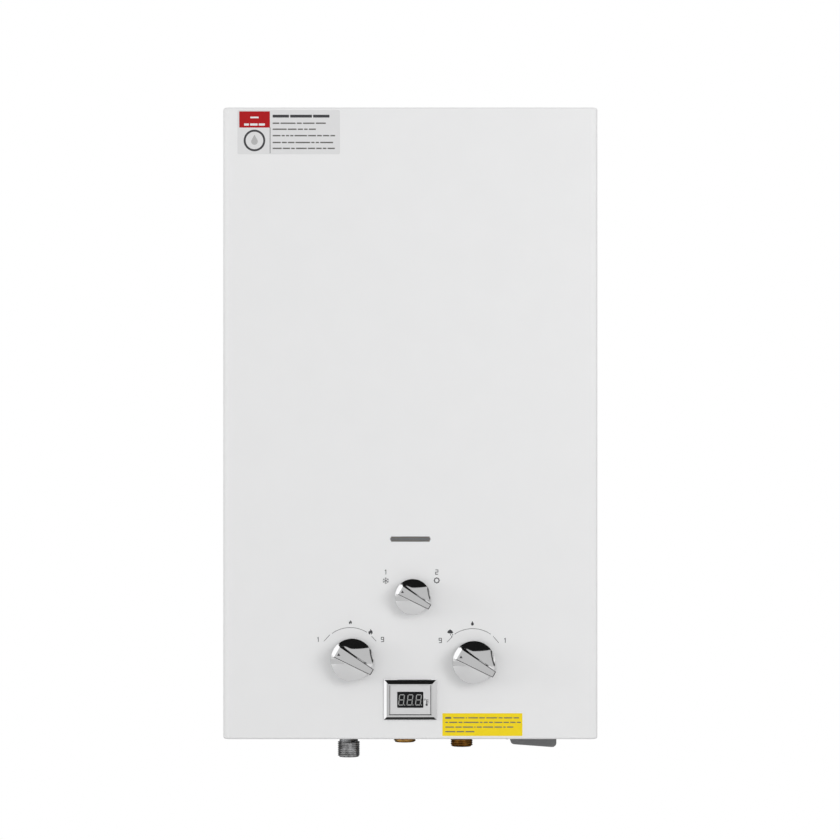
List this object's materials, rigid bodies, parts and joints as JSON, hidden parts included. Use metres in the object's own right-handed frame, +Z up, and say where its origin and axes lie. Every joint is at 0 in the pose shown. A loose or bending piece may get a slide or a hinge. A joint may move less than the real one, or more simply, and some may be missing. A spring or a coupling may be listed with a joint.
{
  "type": "portable propane water heater",
  "caption": "Wall-hung tankless propane water heater: sheet-steel casing, rotary controls, temperature display and threaded fittings outside, burner, exchanger and valves inside.",
  "frame": {"origin": "centre of the four wall screw holes, on the back plate's rear face", "axes": "+Z up along the casing's height, +Y into the wall so that the front faces -Y, +X to the right as seen from the front"},
  "size_m": [0.354, 0.1868, 0.6269],
  "materials": {
    "enamel": "smooth satin",
    "galvanised": "satin",
    "screw_steel": "satin",
    "copper": "satin",
    "burner_steel": "satin",
    "ceramic": "gloss",
    "die_cast": "satin",
    "coil_black": "matte",
    "zinc": "satin",
    "brass": "satin",
    "aged_brass": "satin",
    "rubber": "matte",
    "stainless": "satin",
    "mesh": "matte",
    "black_plastic": "matte",
    "grey_plastic": "matte",
    "cell_label": "gloss",
    "chrome": "polished",
    "silver_panel": "satin",
    "smoked": "gloss",
    "board_green": "matte",
    "wire_red": "satin"
  },
  "bodies": {
    "chassis": {"front_cover": "enamel", "back_plate": "galvanised", "top_plate": "galvanised", "bottom_plate": "galvanised", "cover_screws": "screw_steel", "flue_hood": "galvanised", "combustion_shell": "copper", "exchanger_fins": "copper", "exchanger_tubes": "copper", "coil_pipe": "copper", "exchanger_brackets": "galvanised", "heat_shield": "galvanised", "burner_rack": "galvanised", "burner_blades": "burner_steel", "electrode_bracket": "stainless", "ignition_electrode": "ceramic", "flame_sensor": "ceramic", "gas_manifold": "die_cast", "injectors": "brass", "season_valve": "die_cast", "gas_riser": "die_cast", "gas_valve_body": "die_cast", "gas_valve_bonnet": "die_cast", "solenoid_valve": "coil_black", "gas_inlet_fitting": "zinc", "cold_inlet_fitting": "aged_brass", "hot_outlet_fitting": "brass", "inlet_filter": "mesh", "water_valve_body": "brass", "water_bonnet": "brass", "diaphragm": "rubber", "diaphragm_cover": "brass", "cold_pipe": "copper", "hot_pipe": "copper", "pipe_nuts": "brass", "pipe_seals": "rubber", "valve_screws": "screw_steel", "ignition_controller": "black_plastic", "micro_switch": "black_plastic", "switch_bracket": "stainless", "overheat_switch": "black_plastic", "temperature_sensor": "stainless", "wiring": "wire_red", "battery_box": "black_plastic", "battery_cells": "cell_label", "battery_contacts": "stainless", "lid_hinge_pin": "stainless", "display_bezel": "chrome", "display_panel": "silver_panel", "display_window": "smoked", "display_board": "board_green"},
    "gas_control": {"gas_knob": "chrome", "gas_stem": "stainless"},
    "water_control": {"water_knob": "chrome", "water_stem": "stainless"},
    "season_control": {"season_knob": "chrome", "season_stem": "stainless"},
    "rod": {"push_rod": "stainless"},
    "lever": {"switch_lever": "stainless"},
    "lid": {"battery_lid": "grey_plastic"}
  },
  "joints": [
    {"name": "gas_knob_turn", "type": "hinge", "parent": "chassis", "child": "gas_control", "pos_m": [-0.0541, -0.165, -0.22], "axis": [0, 1, 0], "range_deg": [0, 115]},
    {"name": "water_knob_turn", "type": "hinge", "parent": "chassis", "child": "water_control", "pos_m": [0.0593, -0.165, -0.2222], "axis": [0, 1, 0], "range_deg": [0, 115]},
    {"name": "season_knob_turn", "type": "hinge", "parent": "chassis", "child": "season_control", "pos_m": [0.0023, -0.165, -0.1614], "axis": [0, 1, 0], "range_deg": [0, 115]},
    {"name": "push_rod_slide", "type": "slide", "parent": "chassis", "child": "rod", "axis": [-1, 0, 0], "range_m": [0, 0.003], "stiffness_N_per_m": 300},
    {"name": "switch_lever_turn", "type": "hinge", "parent": "chassis", "child": "lever", "pos_m": [-0.0109, -0.09, -0.199], "axis": [0, 1, 0], "range_deg": [0, 10]},
    {"name": "battery_lid_hinge", "type": "hinge", "parent": "chassis", "child": "lid", "pos_m": [0.0918, -0.083, -0.29795], "axis": [0, 1, 0], "range_deg": [0, 100]}
  ],
  "couplings": [
    {"joint": "switch_lever_turn", "follows": "push_rod_slide", "rad_per_m": 56.2}
  ]
}
